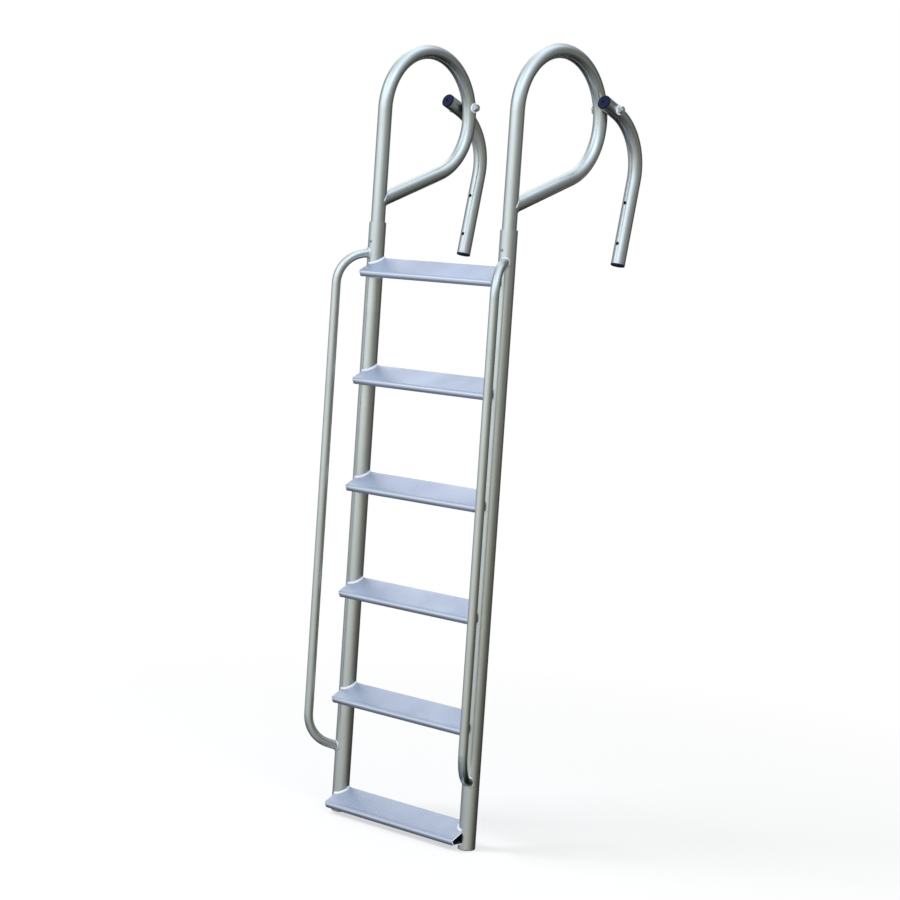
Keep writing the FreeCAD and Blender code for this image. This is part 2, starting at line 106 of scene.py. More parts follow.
class NodeTree:
    """A short way to add and join nodes in one material or group."""

    def __init__(self, tree: bpy.types.NodeTree) -> None:
        """Hold the tree that nodes go into."""
        self.tree = tree

    def add(self, kind: str, values: Optional[Dict[object, object]] = None,
            **settings: object) -> bpy.types.Node:
        """Add a node.

        Args:
            kind: the node's type name.
            values: what its inputs are set to or joined with, by input name or number.
            settings: the node's own properties.

        Returns:
            The new node.
        """
        node = self.tree.nodes.new(kind)
        for name, setting in settings.items():
            setattr(node, name, setting)
        for name, value in (values or {}).items():
            self.feed(node.inputs[name], value)
        return node

    def feed(self, socket: bpy.types.NodeSocket, value: object) -> None:
        """Join a socket with another one, or set it to a plain value."""
        if isinstance(value, bpy.types.NodeSocket):
            self.tree.links.new(value, socket)
        else:
            socket.default_value = value

    def math(self, operation: str, *values: object, clamp: bool = False) -> bpy.types.NodeSocket:
        """Work out a number from others.

        Args:
            operation: the Math node's operation.
            values: plain numbers or sockets, in the order of the node's inputs.
            clamp: whether the result is held between 0 and 1.

        Returns:
            The result's socket.
        """
        node = self.add("ShaderNodeMath", operation=operation, use_clamp=clamp)
        for socket, value in zip(node.inputs, values):
            self.feed(socket, value)
        return node.outputs[0]

    def mix(self, factor: object, low: object, high: object) -> bpy.types.NodeSocket:
        """Mix two colours.

        Args:
            factor: 0 for the first colour, 1 for the second.
            low: the first colour.
            high: the second colour.

        Returns:
            The mixed colour's socket.
        """
        node = self.add("ShaderNodeMix", data_type="RGBA")
        for name, kind, value in (("Factor", "VALUE", factor), ("A", "RGBA", low), ("B", "RGBA", high)):
            self.feed(next(s for s in node.inputs if s.name == name and s.type == kind), value)
        return next(s for s in node.outputs if s.type == "RGBA")

    def noise(self, where: object, scale: object, detail: float = 3.0) -> bpy.types.NodeSocket:
        """A noise value over the given coordinates."""
        values = {"Vector": where, "Scale": scale, "Detail": detail, "Roughness": 0.55}
        return self.add("ShaderNodeTexNoise", values).outputs["Fac"]

    def stretch(self, where: object, scale: Tuple[float, float, float]) -> bpy.types.NodeSocket:
        """The coordinates scaled along each axis."""
        return self.add("ShaderNodeMapping", {"Vector": where, "Scale": scale}).outputs["Vector"]

    def object_place(self) -> bpy.types.NodeSocket:
        """The point's place in its object."""
        return self.add("ShaderNodeTexCoord").outputs["Object"]

    def facing(self) -> bpy.types.NodeOutputs:
        """The parts of the direction that the surface faces, by the name of the axis."""
        normal = self.add("ShaderNodeNewGeometry").outputs["Normal"]
        return self.add("ShaderNodeSeparateXYZ", {"Vector": normal}).outputs

    def seen_rays(self) -> bpy.types.NodeSocket:
        """1 for rays from the camera and for mirrored and transmitted ones."""
        path = self.add("ShaderNodeLightPath").outputs
        mirrored = self.math("MAXIMUM", path["Is Camera Ray"], path["Is Glossy Ray"])
        return self.math("MAXIMUM", mirrored, path["Is Transmission Ray"])

    def remap(self, value: object, low: float, high: float, to_low: float,
              to_high: float) -> bpy.types.NodeSocket:
        """A value moved from one range to another, and held inside it."""
        node = self.add("ShaderNodeMapRange", {"Value": value, "From Min": low, "From Max": high,
                                               "To Min": to_low, "To Max": to_high})
        return node.outputs["Result"]


def opaque(colour: Colour) -> Tuple[float, float, float, float]:
    """A colour with full alpha, as the sockets take it."""
    return (*colour, 1.0)


def between(stops: Stops, where: float) -> Tuple[float, ...]:
    """The numbers of a table of stops at a place between two of them.

    Args:
        stops: rows of a place and its numbers, in order of the place.
        where: a place from the first stop up to the last.

    Returns:
        The numbers there.
    """
    for (low, before), (high, after) in zip(stops, stops[1:]):
        if where <= high:
            share = (where - low) / (high - low)
            return tuple(b + (a - b) * share for b, a in zip(before, after))
    return stops[-1][1]


class Effects:
    """The shader node groups that several finishes share, each built once."""

    _built: Dict[str, bpy.types.NodeTree] = {}

    @classmethod
    def get(cls, name: str) -> bpy.types.NodeTree:
        """The group of that name, built at its first use."""
        if name not in cls._built:
            cls._built[name] = getattr(cls, f"_{name}")()
        return cls._built[name]

    @staticmethod
    def _start(name: str, inputs: Sequence[Tuple[str, str, object]],
               outputs: Sequence[Tuple[str, str]]) -> Tuple[NodeTree, bpy.types.Node, bpy.types.Node]:
        """An empty group with named sockets.

        Args:
            name: the group's name.
            inputs: name, socket type and default of each input.
            outputs: name and socket type of each output.

        Returns:
            The tree, its input node and its output node.
        """
        group = bpy.data.node_groups.new(name, "ShaderNodeTree")
        for title, kind, default in inputs:
            socket = group.interface.new_socket(title, in_out="INPUT", socket_type=kind)
            socket.default_value = default
        for title, kind in outputs:
            group.interface.new_socket(title, in_out="OUTPUT", socket_type=kind)
        tree = NodeTree(group)
        return tree, tree.add("NodeGroupInput"), tree.add("NodeGroupOutput")

    @classmethod
    def _handled_metal(cls) -> bpy.types.NodeTree:
        """Soft cloudy changes of tone and gloss, as on drawn tube that has been handled.

        Returns:
            The group, which puts out a colour, a roughness and a height.
        """
        tree, into, out = cls._start(
            "handled_metal",
            [("Colour", "NodeSocketColor", opaque((0.6, 0.6, 0.6))),
             ("Shade", "NodeSocketColor", opaque((0.4, 0.4, 0.4))),
             ("Roughness", "NodeSocketFloat", 0.4), ("Spread", "NodeSocketFloat", 0.1)],
            [("Colour", "NodeSocketColor"), ("Roughness", "NodeSocketFloat"), ("Height", "NodeSocketFloat")],
        )
        where = tree.object_place()
        clouds = tree.noise(where, 9.0, 4.0)
        drawn = tree.noise(tree.stretch(where, (260.0, 260.0, 6.0)), 1.0, 2.0)
        fine = tree.noise(where, 900.0, 2.0)
        blend = tree.remap(clouds, 0.35, 0.7, 0.0, 0.45)
        streak = tree.remap(drawn, 0.3, 0.7, 0.0, 0.3)
        shaded = tree.math("ADD", blend, streak, clamp=True)
        colour = tree.mix(shaded, into.outputs["Colour"], into.outputs["Shade"])
        swing = tree.math("MULTIPLY", tree.remap(clouds, 0.3, 0.7, -1.0, 1.0), into.outputs["Spread"])
        tree.feed(out.inputs["Colour"], colour)
        tree.feed(out.inputs["Roughness"], tree.math("ADD", into.outputs["Roughness"], swing))
        tree.feed(out.inputs["Height"], tree.math("ADD", fine, tree.math("MULTIPLY", drawn, 0.6)))
        return tree.tree

    @classmethod
    def _rubbed_edges(cls) -> bpy.types.NodeTree:
        """Corners, where wear brightens a finish and where a painted highlight is laid along the edge.

        Returns:
            The group, whose mask is 1 along corners.
        """
        tree, into, out = cls._start(
            "rubbed_edges",
            [("Width", "NodeSocketFloat", 0.001), ("Breaks", "NodeSocketFloat", 120.0)],
            [("Mask", "NodeSocketFloat")],
        )
        soft = tree.add("ShaderNodeBevel", {"Radius": into.outputs["Width"]}, samples=6).outputs["Normal"]
        true = tree.add("ShaderNodeNewGeometry").outputs["Normal"]
        same = tree.add("ShaderNodeVectorMath", {0: soft, 1: true}, operation="DOT_PRODUCT").outputs["Value"]
        corner = tree.remap(same, 0.9, 0.7, 0.0, 1.0)
        patches = tree.noise(tree.object_place(), into.outputs["Breaks"])
        tree.feed(out.inputs["Mask"], tree.math("MULTIPLY", corner, tree.remap(patches, 0.3, 0.6, 0.2, 1.0)))
        return tree.tree

    @classmethod
    def _hatched_grip(cls) -> bpy.types.NodeTree:
        """Rows of small notches across the ribs of a tread, on the faces that look up.

        Returns:
            The group, which puts out the notches' height and a mask of those faces.
        """
        tree, into, out = cls._start(
            "hatched_grip",
            [("Across", "NodeSocketFloat", 0.0032), ("Along", "NodeSocketFloat", 0.0042)],
            [("Height", "NodeSocketFloat"), ("Mask", "NodeSocketFloat")],
        )
        parts = tree.add("ShaderNodeSeparateXYZ", {"Vector": tree.object_place()}).outputs
        waves = []
        for axis, length in (("X", "Across"), ("Y", "Along")):
            turns = tree.math("DIVIDE", tree.math("MULTIPLY", parts[axis], math.tau), into.outputs[length])
            waves.append(tree.math("SINE", turns))
        across = tree.remap(waves[0], -0.4, 0.4, 0.0, 1.0)
        bumps = tree.math("MULTIPLY", across, tree.remap(waves[1], -0.6, 0.2, 0.0, 1.0))
        top = tree.remap(tree.facing()["Z"], 0.8, 0.88, 0.0, 1.0)
        tree.feed(out.inputs["Height"], tree.math("MULTIPLY", bumps, top))
        tree.feed(out.inputs["Mask"], top)
        return tree.tree

    @classmethod
    def _rounded_nose(cls) -> bpy.types.NodeTree:
        """The upper part of each tread's front, rounded over more fully than the mesh has it.

        Returns:
            The group, which puts out a height that falls off towards the corner and a mask of that corner,
            along which a painted highlight is laid.
        """
        tree, into, out = cls._start(
            "rounded_nose",
            [("Corner", "NodeSocketFloat", 0.0), ("Pitch", "NodeSocketFloat", 0.3),
             ("Reach", "NodeSocketFloat", 0.01)],
            [("Height", "NodeSocketFloat"), ("Mask", "NodeSocketFloat")],
        )
        parts = tree.add("ShaderNodeSeparateXYZ", {"Vector": tree.object_place()}).outputs
        depth = tree.math("SUBTRACT", into.outputs["Corner"], parts["Z"])
        below = tree.math("FLOORED_MODULO", depth, into.outputs["Pitch"])
        fall = tree.add("ShaderNodeMapRange", {"Value": below, "From Max": into.outputs["Reach"]},
                        interpolation_type="SMOOTHSTEP")
        normal = tree.facing()
        front = tree.math("MULTIPLY", tree.remap(normal["Y"], -0.3, -0.1, 1.0, 0.0),
                          tree.remap(normal["Z"], 0.75, 0.86, 1.0, 0.0))
        rise = tree.math("SUBTRACT", 1.0, fall.outputs["Result"])
        tree.feed(out.inputs["Height"], tree.math("MULTIPLY", fall.outputs["Result"], front))
        tree.feed(out.inputs["Mask"], tree.math("MULTIPLY", rise, front))
        return tree.tree

    @classmethod
    def _sawn_ends(cls) -> bpy.types.NodeTree:
        """Faces that look along the ladder's width, where a tread was sawn off.

        Returns:
            The group, whose mask is 1 on those faces, with the saw's lines in it.
        """
        tree, into, out = cls._start("sawn_ends", [("Teeth", "NodeSocketFloat", 900.0)],
                                     [("Mask", "NodeSocketFloat")])
        facing = tree.remap(tree.math("ABSOLUTE", tree.facing()["X"]), 0.92, 0.98, 0.0, 1.0)
        lines = tree.noise(tree.stretch(tree.object_place(), (1.0, 1.0, 0.1)), into.outputs["Teeth"])
        tree.feed(out.inputs["Mask"], tree.math("MULTIPLY", facing, tree.remap(lines, 0.3, 0.6, 0.8, 1.0)))
        return tree.tree


@dataclass(frozen=True)
class Finish:
    """A surface finish: its colours and how the light leaves it."""

    name: str
    colour: Colour
    shade: Colour
    # colour along corners: partly wear and partly a painted highlight
    rubbed: Colour
    metallic: float = 1.0
    roughness: float = 0.4
    spread: float = 0.06
    bump: float = 0.02
    bump_depth: float = 0.0002
    edge: float = 0.0012
    specular: float = 0.5

    def start(self) -> Tuple[NodeTree, bpy.types.Node]:
        """A material with a Principled BSDF whose plain numbers are set.

        Returns:
            Its tree and the shader node.
        """
        material = bpy.data.materials.new(self.name)
        material.use_nodes = True
        tree = NodeTree(material.node_tree)
        shader = material.node_tree.nodes["Principled BSDF"]
        shader.inputs["Metallic"].default_value = self.metallic
        shader.inputs["Specular IOR Level"].default_value = self.specular
        return tree, shader

    def surface(self, tree: NodeTree, shader: bpy.types.Node) -> Tuple[object, object]:
        """Add the tones, the gloss and the edges, lightened partly by wear and partly as a painted highlight.

        Args:
            tree: the material's tree.
            shader: its Principled BSDF.

        Returns:
            The colour socket and the height socket, for a finish that adds to them.
        """
        metal = tree.add("ShaderNodeGroup", node_tree=Effects.get("handled_metal"))
        for name, value in (("Colour", opaque(self.colour)), ("Shade", opaque(self.shade)),
                            ("Roughness", self.roughness), ("Spread", self.spread)):
            metal.inputs[name].default_value = value
        # corners take the edge colour: partly wear, partly a painted highlight
        worn_and_highlit = tree.add("ShaderNodeGroup", node_tree=Effects.get("rubbed_edges"))
        worn_and_highlit.inputs["Width"].default_value = self.edge
        colour = tree.mix(worn_and_highlit.outputs["Mask"], metal.outputs["Colour"], opaque(self.rubbed))
        tree.feed(shader.inputs["Base Color"], colour)
        tree.feed(shader.inputs["Roughness"], metal.outputs["Roughness"])
        return colour, metal.outputs["Height"]

    def build(self) -> bpy.types.Material:
        """Make the material.

        Returns:
            The finished material.
        """
        tree, shader = self.start()
        height = self.surface(tree, shader)[1]
        bump = tree.add("ShaderNodeBump", {"Height": height, "Strength": self.bump,
                                           "Distance": self.bump_depth})
        tree.feed(shader.inputs["Normal"], bump.outputs["Normal"])
        return bpy.data.materials[self.name]


@dataclass(frozen=True)
class TreadFinish(Finish):
    """Tread aluminium: as the plain finish, with a hatched grip on the faces that look up, painted shade in
    the grip's notches and a painted highlight on the nose.
    """

    grip: float = 0.12
    grip_depth: float = 0.0005
    nose: float = 0.0098
    nose_depth: float = 0.0030
    # a darker colour painted as shade into the low parts of the grip's notches
    furrow: Colour = (0.3, 0.33, 0.42)
    sawn: Colour = (0.9, 0.93, 0.97)
    furrow_share: float = 0.25
    # how much painted highlight goes on each nose's upper part
    nose_share: float = 0.85
    sawn_dulling: float = 0.8

    def build(self) -> bpy.types.Material:
        """Make the material, with the hatch in its bump and as painted shade in its colour, and a painted
        highlight on the nose.

        Returns:
            The finished material.
        """
        tree, shader = self.start()
        colour, height = self.surface(tree, shader)
        hatch = tree.add("ShaderNodeGroup", node_tree=Effects.get("hatched_grip")).outputs
        low = tree.math("MULTIPLY", tree.math("SUBTRACT", 1.0, hatch["Height"]), hatch["Mask"])
        ends = tree.add("ShaderNodeGroup", node_tree=Effects.get("sawn_ends")).outputs["Mask"]
        nose = tree.add("ShaderNodeGroup", node_tree=Effects.get("rounded_nose"))
        for name, value in (("Corner", SIZES.tread_corner()), ("Pitch", SIZES.tread_pitch),
                            ("Reach", self.nose)):
            nose.inputs[name].default_value = value
        # painted shade: the low parts of the notches darkened
        ribbed = tree.mix(tree.math("MULTIPLY", low, self.furrow_share), colour, opaque(self.furrow))
        # painted highlight: the upper part of each nose lightened towards the edge colour
        rubbed = tree.math("MULTIPLY", nose.outputs["Mask"], self.nose_share)
        bright = tree.mix(rubbed, ribbed, opaque(self.rubbed))
        tree.feed(shader.inputs["Base Color"], tree.mix(ends, bright, opaque(self.sawn)))
        dulled = tree.math("MULTIPLY", ends, self.sawn_dulling)
        tree.feed(shader.inputs["Metallic"], tree.math("SUBTRACT", self.metallic, dulled))
        fine = tree.add("ShaderNodeBump", {"Height": height, "Strength": self.bump,
                                           "Distance": self.bump_depth})
        grip = tree.add("ShaderNodeBump", {"Height": hatch["Height"], "Strength": self.grip,
                                           "Distance": self.grip_depth, "Normal": fine.outputs["Normal"]})
        rounded = tree.add("ShaderNodeBump", {"Height": nose.outputs["Height"], "Strength": 1.0,
                                              "Distance": self.nose_depth, "Normal": grip.outputs["Normal"]})
        tree.feed(shader.inputs["Normal"], rounded.outputs["Normal"])
        return bpy.data.materials[self.name]


class Look(Enum):
    """The finishes that the ladder's pieces have."""

    TUBE = Finish("satin_tube", (0.62, 0.645, 0.60), (0.54, 0.56, 0.52), (0.78, 0.80, 0.80), roughness=0.3)
    # its blue tint is a painted reflection of the sky, laid over the aluminium's own tone
    TREAD = TreadFinish("tread_aluminium", (0.525, 0.575, 0.68), (0.465, 0.51, 0.62), (0.84, 0.87, 0.87),
                        roughness=0.42)
    WELD = Finish("weld_bead", (0.80, 0.82, 0.82), (0.70, 0.72, 0.73), (0.9, 0.9, 0.9), roughness=0.36,
                  bump=0.3)
    # its pale colour is partly the weld's own and partly a painted highlight
    FILLET = Finish("pale_fillet", (0.86, 0.88, 0.91), (0.76, 0.78, 0.81), (0.9, 0.9, 0.9), metallic=0.5,
                    roughness=0.42, bump=0.3)
    STEEL = Finish("stainless_steel", (0.82, 0.83, 0.84), (0.68, 0.69, 0.70), (0.9, 0.9, 0.9), roughness=0.26)
    WASHER = Finish("pale_washer", (0.90, 0.93, 0.97), (0.80, 0.83, 0.88), (0.95, 0.97, 1.0), metallic=0.15,
                    roughness=0.5)
    NUT = Finish("nut_steel", (0.66, 0.68, 0.70), (0.5, 0.52, 0.54), (0.85, 0.87, 0.9), roughness=0.35)
    SCREW = Finish("screw_steel", (0.34, 0.33, 0.30), (0.22, 0.21, 0.2), (0.5, 0.5, 0.5), roughness=0.4)
    # its edge colour is darker than its face, so the plug is darker along its rim
    PLUG = Finish("arm_plug_plastic", (0.006, 0.010, 0.036), (0.004, 0.006, 0.020), (0.003, 0.004, 0.006),
                  metallic=0.0, roughness=0.6, bump=0.12, specular=0.2)
    SPACER = Finish("spacer_nylon", (0.010, 0.010, 0.011), (0.016, 0.016, 0.017), (0.03, 0.03, 0.03),
                    metallic=0.0, roughness=0.6, bump=0.12, specular=0.2)
    FOOT_CAP = Finish("foot_cap_plastic", (0.13, 0.135, 0.125), (0.09, 0.095, 0.09), (0.2, 0.2, 0.2),
                      metallic=0.0, roughness=0.6, bump=0.12, specular=0.3)


class Wardrobe:
    """Builds each finish at its first use and hands out its material."""

    def __init__(self) -> None:
        """Start with no material."""
        self.materials: Dict[Look, bpy.types.Material] = {}

    def dress(self, piece: bpy.types.Object, look: Look) -> None:
        """Give a piece one finish on all its faces.

        Args:
            piece: the object to dress.
            look: its finish.
        """
        if look not in self.materials:
            self.materials[look] = look.value.build()
        piece.data.materials.clear()
        piece.data.materials.append(self.materials[look])


def keep(piece: bpy.types.Object, body: Body) -> bpy.types.Object:
    """Let a piece ride on a body and log how many faces it has.

    Args:
        piece: a piece that the CAD part lacks.
        body: the body that carries it.

    Returns:
        The same piece.
    """
    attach(piece, body.value)
    log.info("%s: %d faces on %s", piece.name, len(piece.data.polygons), body.value)
    return piece


def skin(name: str, sections: Sequence[Section], closed: bool = False) -> bpy.types.Object:
    """A smooth skin over a row of closed sections with the same number of points.

    Args:
        name: the new object's name.
        sections: the rings of points, in order.
        closed: whether the last ring joins the first; otherwise both ends get a face.

    Returns:
        The new object, linked to the scene.
    """
    mesh = bmesh.new()
    rings = [[mesh.verts.new(point) for point in section] for section in sections]
    pairs = list(zip(rings, rings[1:])) + ([(rings[-1], rings[0])] if closed else [])
    for before, after in pairs:
        count = len(before)
        for i in range(count):
            mesh.faces.new((before[i], before[(i + 1) % count], after[(i + 1) % count], after[i]))
    if not closed:
        mesh.faces.new(list(reversed(rings[0])))
        mesh.faces.new(rings[-1])
    bmesh.ops.recalc_face_normals(mesh, faces=mesh.faces)
    for face in mesh.faces:
        face.smooth = len(face.verts) == 4
    data = bpy.data.meshes.new(name)
    mesh.to_mesh(data)
    mesh.free()
    piece = bpy.data.objects.new(name, data)
    bpy.context.scene.collection.objects.link(piece)
    return piece


@dataclass
class WeldBead:
    """A laid bead of weld along a seam, with the ripples of its pool.

    Attributes:
        name: the piece's name.
        seam: the line that the bead follows.
        closed: whether the seam goes all round.
        look: its finish.
        radius: half the bead's width.
        ripple: the length of one ripple.
        swell: how much of the radius the ripples take.
        corners: how many points go round the bead.
        rings: how many rings of points make one ripple.
    """

    name: str
    seam: List[Vector]
    closed: bool = True
    look: Look = Look.WELD
    radius: float = 0.0032
    ripple: float = 0.0028
    swell: float = 0.14
    corners: int = 8
    rings: int = 4

    def walk(self) -> List[Tuple[Vector, Vector, float]]:
        """Go along the seam in even steps.

        Returns:
            Each point, the seam's direction there and the length so far.
        """
        line = self.seam + ([self.seam[0]] if self.closed else [])
        lengths = [0.0]
        for before, after in zip(line, line[1:]):
            lengths.append(lengths[-1] + (after - before).length)
        count = round(lengths[-1] / self.ripple * self.rings)
        found: List[Tuple[Vector, Vector, float]] = []
        at = 0
        for i in range(count if self.closed else count + 1):
            goal = lengths[-1] * i / count
            while at < len(lengths) - 2 and lengths[at + 1] < goal:
                at += 1
            share = (goal - lengths[at]) / (lengths[at + 1] - lengths[at])
            found.append((line[at].lerp(line[at + 1], share), (line[at + 1] - line[at]).normalized(), goal))
        return found

    def build(self, wardrobe: Wardrobe) -> bpy.types.Object:
        """Make the bead, dress it and let it ride on the ladder.

        Args:
            wardrobe: where its material comes from.

        Returns:
            The bead.
        """
        sections: List[Section] = []
        spots = self.walk()
        across = spots[0][1].orthogonal().normalized()
        for place, along, run in spots:
            across = (across - along * across.dot(along)).normalized()
            other = along.cross(across)
            wave = abs(math.sin(math.pi * run / self.ripple))
            size = self.radius * (1 - self.swell + self.swell * wave)
            turns = (math.tau * i / self.corners for i in range(self.corners))
            sections.append([place + across * (size * math.cos(turn)) + other * (size * math.sin(turn))
                             for turn in turns])
        piece = skin(self.name, sections, self.closed)
        wardrobe.dress(piece, self.look)
        return keep(piece, Body.LADDER)


def saddle(trunk_axis: Vector, outward: Vector, rise: float, branch: float, trunk: float,
           count: int = 96) -> List[Vector]:
    """The seam where a slanted round branch meets an upright round trunk.

    Args:
        trunk_axis: where the branch's axis meets the trunk's axis.
        outward: the flat direction in which the branch leaves the trunk.
        rise: how steeply the branch climbs outward, in degrees.
        branch: the branch's radius.
        trunk: the trunk's radius.
        count: how many points the seam has.

    Returns:
        The points of the seam, all round the branch.
    """
    lean = math.radians(rise)
    flat = outward.normalized()
    aside = Vector((-flat.y, flat.x, 0))
    points = []
    for i in range(count):
        turn = math.tau * i / count
        side = branch * math.cos(turn)
        up = branch * math.sin(turn)
        reach = math.sqrt(trunk * trunk - side * side)
        along = (reach + up * math.sin(lean)) / math.cos(lean)
        climb = Vector((0, 0, along * math.sin(lean) + up * math.cos(lean)))
        points.append(trunk_axis + aside * side + flat * reach + climb)
    return points


@dataclass
class Rails:
    """The two uprights with their foot caps and loop screws."""

    def build(self, nodes: Dict[str, bpy.types.Object], wardrobe: Wardrobe) -> None:
        """Dress the rails, the caps and the screws.

        Args:
            nodes: the CAD nodes by name.
            wardrobe: where the materials come from.
        """
        for side in Side:
            wardrobe.dress(nodes[f"{side.word}_rail"], Look.TUBE)
            wardrobe.dress(nodes[f"{side.word}_rail_foot_cap"], Look.FOOT_CAP)
            wardrobe.dress(nodes[f"{side.word}_loop_screw"], Look.SCREW)


@dataclass
class Treads:
    """The six treads and the beads that hold them to the rails.

    Attributes:
        sizes: the ladder's sizes.
        seam_start: where a seam starts on the rail's round, in degrees from the side that faces inward.
        seam_turn: how far a seam goes round the rail, in degrees.
        seam_points: how many points a seam has.
        top_bead: half the width of the bead along a tread's top.
        base_bead: half the width of the bead along its base.
    """

    sizes: LadderSizes = SIZES
    seam_start: float = -90.0
    seam_turn: float = 118.0
    seam_points: int = 60
    top_bead: float = 0.0058
    base_bead: float = 0.003

    def seam(self, side: Side, number: int, under: bool) -> List[Vector]:
        """The line where a tread's top or base meets a rail, from the front round the inner side.

        Args:
            side: which rail.
            number: which tread, counted from the top.
            under: whether the line is that of the level base instead of the slanted top.

        Returns:
            The points of the line.
        """
        sizes = self.sizes
        slope = 0.0 if under else math.tan(math.radians(sizes.tread_tilt))
        fall = sizes.tread_base if under else 0.0
        points = []
        for i in range(self.seam_points):
            turn = math.radians(self.seam_start + self.seam_turn * i / (self.seam_points - 1))
            x = sizes.rail_radius * math.cos(turn) * -side.value
            y = sizes.rail_radius * math.sin(turn)
            points.append(Vector((sizes.rail_centre(side) + x, sizes.rail_y + y,
                                  sizes.tread_z(number) + y * slope - fall)))
        return points

    def weld(self, wardrobe: Wardrobe) -> None:
        """Lay a bead over and under each end of each tread.

        Args:
            wardrobe: where the beads' material comes from.
        """
        for number in range(1, self.sizes.tread_count + 1):
            for side in Side:
                for word, radius in (("top", self.top_bead), ("under", self.base_bead)):
                    name = f"{side.word}_tread_{number}_{word}_bead"
                    WeldBead(name, self.seam(side, number, word == "under"), closed=False, look=Look.FILLET,
                             radius=radius).build(wardrobe)

    def build(self, nodes: Dict[str, bpy.types.Object], wardrobe: Wardrobe) -> None:
        """Dress the treads and weld them.

        Args:
            nodes: the CAD nodes by name.
            wardrobe: where the materials come from.
        """
        for number in range(1, self.sizes.tread_count + 1):
            wardrobe.dress(nodes[f"tread_{number}"], Look.TREAD)
        self.weld(wardrobe)


@dataclass
class HandLoops:
    """The two bent loops, each welded back onto its own upright."""

    sizes: LadderSizes = SIZES
    joint_bead: float = 0.0024

    def build(self, nodes: Dict[str, bpy.types.Object], wardrobe: Wardrobe) -> None:
        """Dress the loops and weld their lower ends.

        Args:
            nodes: the CAD nodes by name.
            wardrobe: where the materials come from.
        """
        sizes = self.sizes
        for side in Side:
            wardrobe.dress(nodes[f"{side.word}_hand_loop"], Look.TUBE)
            joint = Vector((sizes.rail_centre(side), sizes.rail_y, sizes.loop_joint))
            seam = saddle(joint, Vector((0, 1, 0)), sizes.loop_drop, sizes.loop_radius, sizes.loop_radius)
            WeldBead(f"{side.word}_loop_joint_bead", seam, radius=self.joint_bead).build(wardrobe)


@dataclass
class SideHandrails:
    """The bars in front of the rails, welded at both ends."""

    sizes: LadderSizes = SIZES
    end_bead: float = 0.0034

    def outward(self, side: Side) -> Vector:
        """The flat direction from a rail to its bar."""
        splay = math.radians(self.sizes.bar_splay)
        return Vector((side.value * math.sin(splay), -math.cos(splay), 0))

    def build(self, nodes: Dict[str, bpy.types.Object], wardrobe: Wardrobe) -> None:
        """Dress the bars and weld their ends.

        Args:
            nodes: the CAD nodes by name.
            wardrobe: where the materials come from.
        """
        sizes = self.sizes
        for side in Side:
            wardrobe.dress(nodes[f"{side.word}_side_handrail"], Look.TUBE)
            for word, height, rise in (("head", sizes.bar_head, sizes.bar_head_drop),
                                       ("foot", sizes.bar_foot, sizes.bar_foot_drop)):
                end = Vector((sizes.rail_centre(side), sizes.rail_y, height))
                seam = saddle(end, self.outward(side), rise, sizes.bar_radius, sizes.rail_radius)
                WeldBead(f"{side.word}_handrail_{word}_bead", seam, radius=self.end_bead).build(wardrobe)


@dataclass
class DockArms:
    """The two arms that stand in the dock, with their plugs and pivots."""

    pivot: Tuple[Tuple[str, Look], ...] = (
        ("bolt", Look.STEEL), ("head_washer", Look.WASHER), ("nut_washer", Look.WASHER),
        ("spacer", Look.SPACER), ("nut", Look.NUT),
    )

    def build(self, nodes: Dict[str, bpy.types.Object], wardrobe: Wardrobe) -> None:
        """Dress the arms, plugs and pivot hardware.

        Args:
            nodes: the CAD nodes by name.
            wardrobe: where the materials come from.
        """
        for side in Side:
            wardrobe.dress(nodes[f"{side.word}_dock_arm"], Look.TUBE)
            for end in ("foot", "head"):
                wardrobe.dress(nodes[f"{side.word}_arm_{end}_plug"], Look.PLUG)
            for name, look in self.pivot:
                wardrobe.dress(nodes[f"{side.word}_pivot_{name}"], look)


def direction(angle: float, height: float) -> Vector:
    """The unit vector at an angle from +X towards +Y and an angle over the horizon, in degrees."""
    return Euler((0, -math.radians(height), math.radians(angle))).to_matrix() @ Vector((1, 0, 0))


class Tint(Enum):
    """The tints of the studio's light."""

    COOL = (0.88, 1.0, 1.22)
    PALE = (0.94, 1.0, 1.10)
    DAY = (1.0, 1.0, 0.94)
    WARM = (1.0, 0.97, 0.78)


@dataclass(frozen=True)
class Card:
    """A soft lit card, far away, that shows in the metal's reflections.

    Attributes:
        angle: where its middle stands round the set, in degrees from +X towards +Y.
        height: where its middle stands over the horizon, in degrees.
        width: how far its light spreads, in degrees.
        light: how strong it is in its middle.
        tint: the tint of its light.
    """

    angle: float
    height: float
    width: float
    light: float
    tint: Tint

    def glow(self, angle: float, height: float) -> float:
        """How much of the card's light is seen in one direction."""
        nearness = direction(self.angle, self.height).dot(direction(angle, height))
        return self.light * math.exp((nearness - 1) / math.radians(self.width) ** 2)


@dataclass(frozen=True)
class Wall:
    """A stretch of the studio's upright wall that catches the light.

    Attributes:
        angle: where its middle stands round the set, in degrees from +X towards +Y.
        width: how far its light spreads to both sides, in degrees.
        light: how strong it is in its middle.
        tint: the tint of its light.
    """

    angle: float
    width: float
    light: float
    tint: Tint

    def glow(self, angle: float) -> float:
        """How much of the wall's light is seen at an angle round the set."""
        nearness = math.cos(math.radians(angle - self.angle))
        return self.light * math.exp((nearness - 1) / math.radians(self.width) ** 2)


@dataclass(frozen=True)
class Lamp:
    """A soft square lamp that lights the set and doesn't show in reflections."""

    name: str
    place: Tuple[float, float, float]
    size: float
    power: float
    colour: Colour

    def build(self, aim: Vector) -> None:
        """Hang the lamp.

        Args:
            aim: the point that it faces.
        """
        lamp = bpy.data.lights.new(self.name, "AREA")
        lamp.shape = "SQUARE"
        lamp.size = self.size
        lamp.energy = self.power
        lamp.color = self.colour
        holder = bpy.data.objects.new(self.name, lamp)
        turn = (aim - Vector(self.place)).to_track_quat("-Z", "Y").to_matrix().to_4x4()
        holder.matrix_world = Matrix.Translation(self.place) @ turn
        holder.visible_glossy = False
        bpy.context.scene.collection.objects.link(holder)


